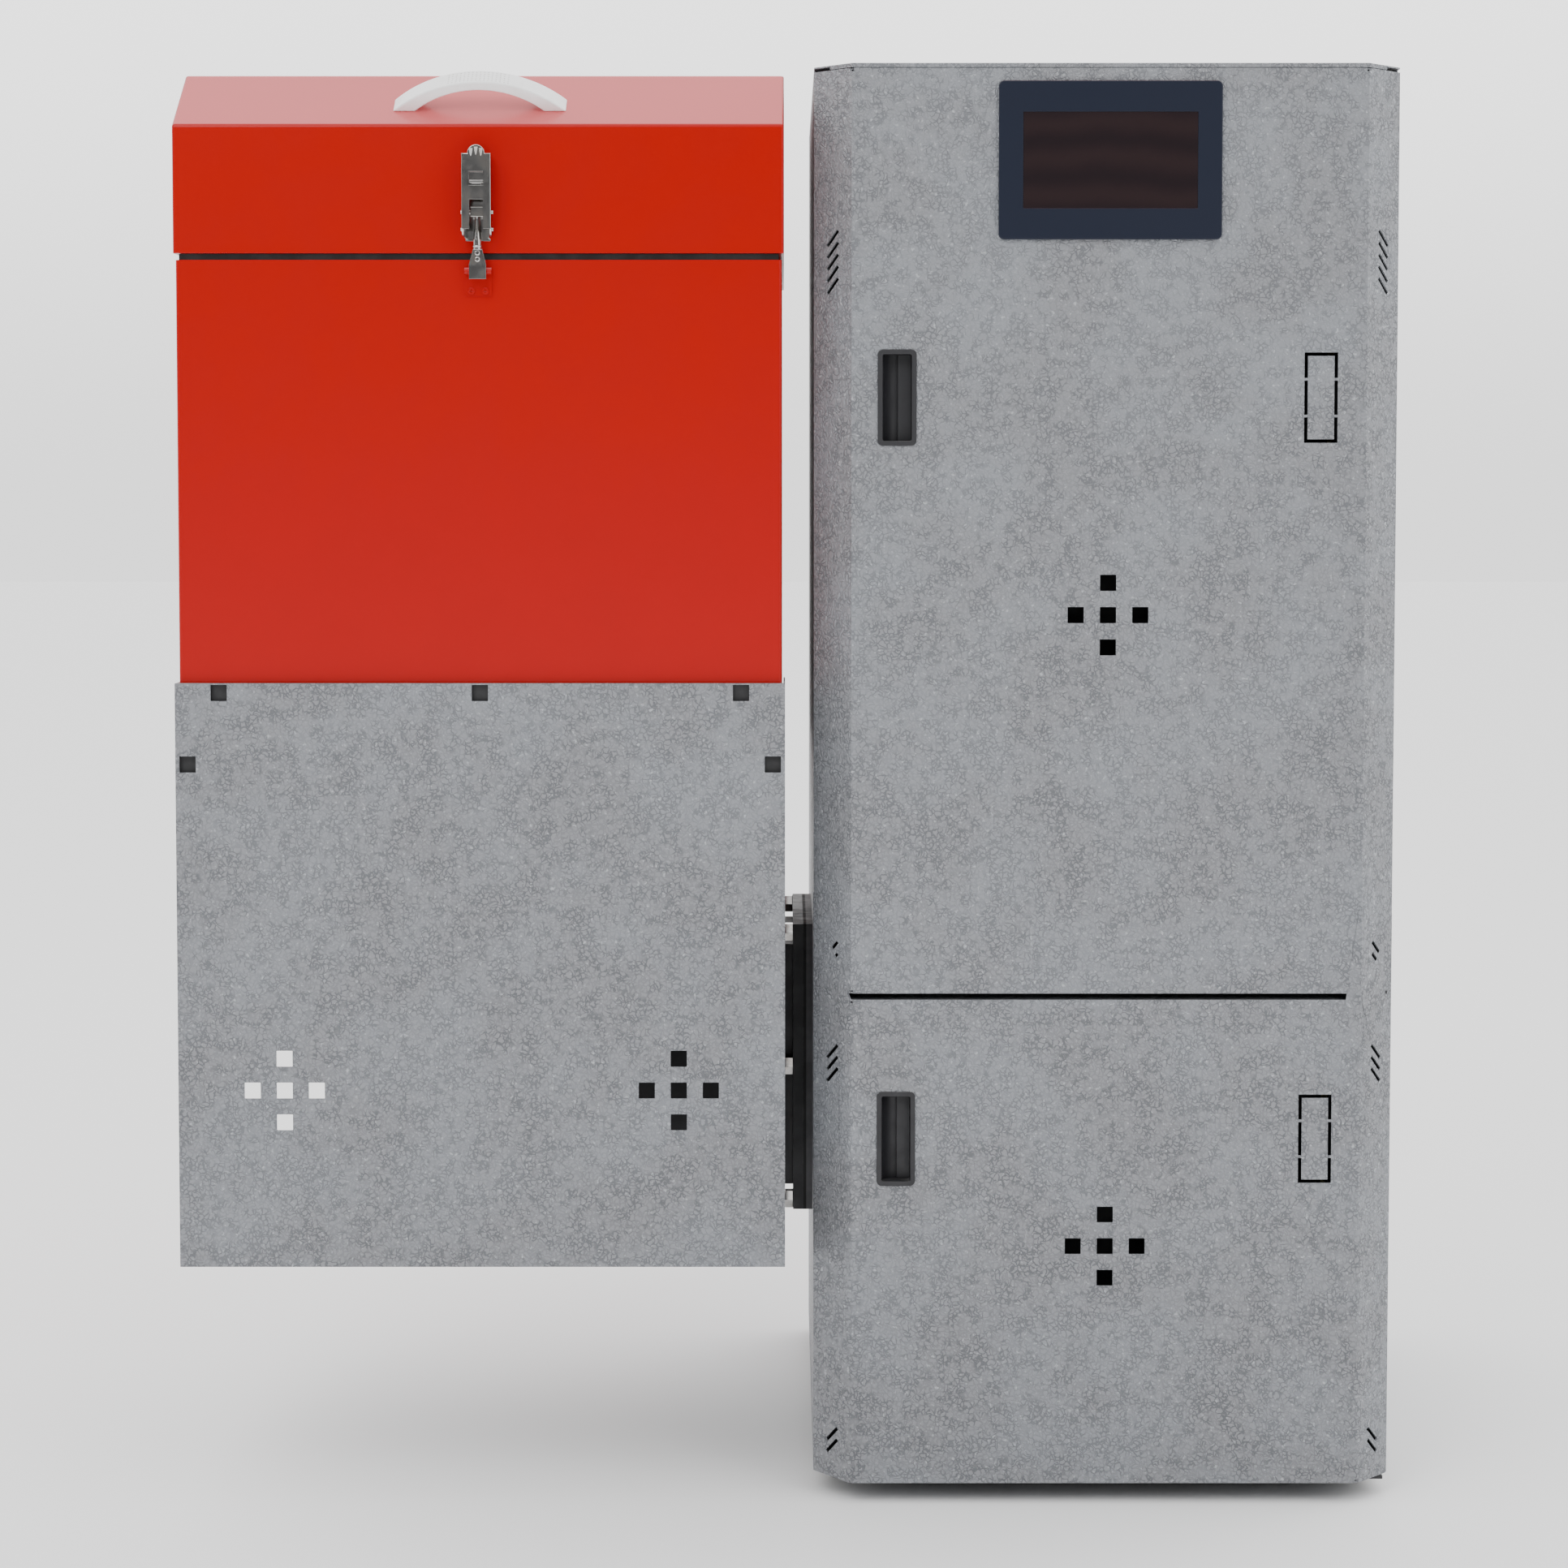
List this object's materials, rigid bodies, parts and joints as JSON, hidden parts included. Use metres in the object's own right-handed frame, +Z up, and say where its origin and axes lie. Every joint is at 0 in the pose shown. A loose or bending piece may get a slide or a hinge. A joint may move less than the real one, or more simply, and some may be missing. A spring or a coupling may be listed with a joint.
{
  "type": "automatic solid fuel boiler",
  "caption": "Free-standing pellet or coal boiler with two front doors and a touch screen, fed by an auger from a lidded side hopper with a latch.",
  "frame": {"origin": "middle of the whole object's box at floor level, under the feet", "axes": "+Z up, +Y to the back, +X towards the boiler and away from the hopper; the doors face -Y"},
  "size_m": [1.141, 0.714, 1.3475],
  "materials": {
    "hammered_silver": "hammer-effect silver paint",
    "red_gloss": "gloss red powder coat",
    "black_paint": "matt black paint",
    "boiler_steel": "heat-proof grey-black paint",
    "cast_burner": "raw casting",
    "zinc_steel": "zinc plated",
    "brass_fitting": "plain brass",
    "black_plastic": "satin moulding",
    "bezel_plastic": "smooth dark front",
    "screen_glass": "dark touch screen",
    "handle_metal": "white satin with a dot pattern",
    "grip_plastic": "heat-proof moulding",
    "seal_rubber": "soft black",
    "rope_fibre": "woven glass fibre",
    "wool": "mineral wool"
  },
  "bodies": {
    "boiler": {"base_frame": "black_paint", "levelling_feet": "zinc_steel", "water_jacket": "boiler_steel", "flue_baffles": "boiler_steel", "burner_retort": "cast_burner", "burner_ring": "cast_burner", "flame_deflector": "cast_burner", "ash_drawer": "boiler_steel", "flue_collar": "black_paint", "supply_pipe": "zinc_steel", "return_pipe": "zinc_steel", "drain_valve": "brass_fitting", "left_casing_panel": "hammered_silver", "right_casing_panel": "hammered_silver", "top_casing_panel": "hammered_silver", "rear_casing_panel": "hammered_silver", "door_frame": "black_paint", "insulation_wrap": "wool", "door_hinge_pins": "black_paint", "inner_door_hinges": "boiler_steel", "catch_magnets": "zinc_steel", "feeder_flange": "black_paint", "flange_gasket": "seal_rubber", "flange_studs": "zinc_steel", "feeder_tube": "black_paint", "air_box": "black_paint", "fan_housing": "black_paint", "fan_motor": "black_plastic", "gearbox": "black_paint", "gear_motor": "black_paint", "hopper_throat": "black_paint", "hopper_funnel": "red_gloss", "hopper_body": "red_gloss", "hopper_skirt": "hammered_silver", "skirt_hangers": "black_paint", "lid_seal": "seal_rubber", "lid_hinge_brackets": "black_paint", "latch_keeper": "red_gloss", "keeper_screws": "red_gloss"},
    "feed_screw": {"auger": "zinc_steel"},
    "fan_wheel": {"fan_impeller": "black_plastic"},
    "upper_door": {"upper_door_skin": "hammered_silver", "upper_pull_cup": "black_plastic", "display_bezel": "bezel_plastic", "display_screen": "screen_glass", "control_box": "black_plastic"},
    "lower_door": {"lower_door_skin": "hammered_silver", "lower_pull_cup": "black_plastic"},
    "cleaning_door": {"cleaning_door_plate": "black_paint", "cleaning_door_rope": "rope_fibre"},
    "cleaning_grip": {"cleaning_door_handle": "grip_plastic"},
    "furnace_door": {"furnace_door_plate": "black_paint", "furnace_door_rope": "rope_fibre"},
    "furnace_grip": {"furnace_door_handle": "grip_plastic"},
    "lid": {"lid_panel": "red_gloss", "lid_hinge_leaves": "black_paint", "lid_handle": "handle_metal", "latch_base": "zinc_steel"},
    "lever": {"latch_lever": "zinc_steel"},
    "draw_rod": {"latch_rod": "zinc_steel"}
  },
  "joints": [
    {"name": "upper_door_hinge", "type": "hinge", "parent": "boiler", "child": "upper_door", "pos_m": [0.5585, -0.309, 0.91375], "axis": [0, 0, 1], "range_deg": [0, 100]},
    {"name": "lower_door_hinge", "type": "hinge", "parent": "boiler", "child": "lower_door", "pos_m": [0.5585, -0.309, 0.24925], "axis": [0, 0, 1], "range_deg": [0, 100]},
    {"name": "cleaning_door_hinge", "type": "hinge", "parent": "boiler", "child": "cleaning_door", "pos_m": [0.49, -0.249, 0.975], "axis": [0, 0, 1], "range_deg": [0, 100]},
    {"name": "furnace_door_hinge", "type": "hinge", "parent": "boiler", "child": "furnace_door", "pos_m": [0.49, -0.249, 0.267], "axis": [0, 0, 1], "range_deg": [0, 100]},
    {"name": "cleaning_grip_turn", "type": "hinge", "parent": "cleaning_door", "child": "cleaning_grip", "pos_m": [0.147, -0.283, 0.975], "axis": [0, 1, 0], "range_deg": [0, 90]},
    {"name": "furnace_grip_turn", "type": "hinge", "parent": "furnace_door", "child": "furnace_grip", "pos_m": [0.147, -0.283, 0.267], "axis": [0, 1, 0], "range_deg": [0, 90]},
    {"name": "lid_hinge", "type": "hinge", "parent": "boiler", "child": "lid", "pos_m": [-0.2865, 0.235, 1.1705], "axis": [-1, 0, 0], "range_deg": [0, 80]},
    {"name": "latch_lever_hinge", "type": "hinge", "parent": "lid", "child": "lever", "pos_m": [-0.2865, -0.346, 1.1945], "axis": [1, 0, 0], "range_deg": [0, 120]},
    {"name": "draw_rod_hinge", "type": "hinge", "parent": "lever", "child": "draw_rod", "pos_m": [-0.2865, -0.347, 1.21025], "axis": [1, 0, 0], "range_deg": [-120, 0]},
    {"name": "auger_spin", "type": "hinge", "parent": "boiler", "child": "feed_screw", "pos_m": [0, -0.053, 0.385], "axis": [1, 0, 0], "continuous": true},
    {"name": "fan_spin", "type": "hinge", "parent": "boiler", "child": "fan_wheel", "pos_m": [-0.0945, 0.072, 0.385], "axis": [0, 1, 0], "continuous": true}
  ],
  "couplings": [
    {"joint": "cleaning_door_hinge", "follows": "upper_door_hinge", "ratio": 1},
    {"joint": "furnace_door_hinge", "follows": "lower_door_hinge", "ratio": 1},
    {"joint": "draw_rod_hinge", "follows": "latch_lever_hinge", "ratio": -1}
  ]
}
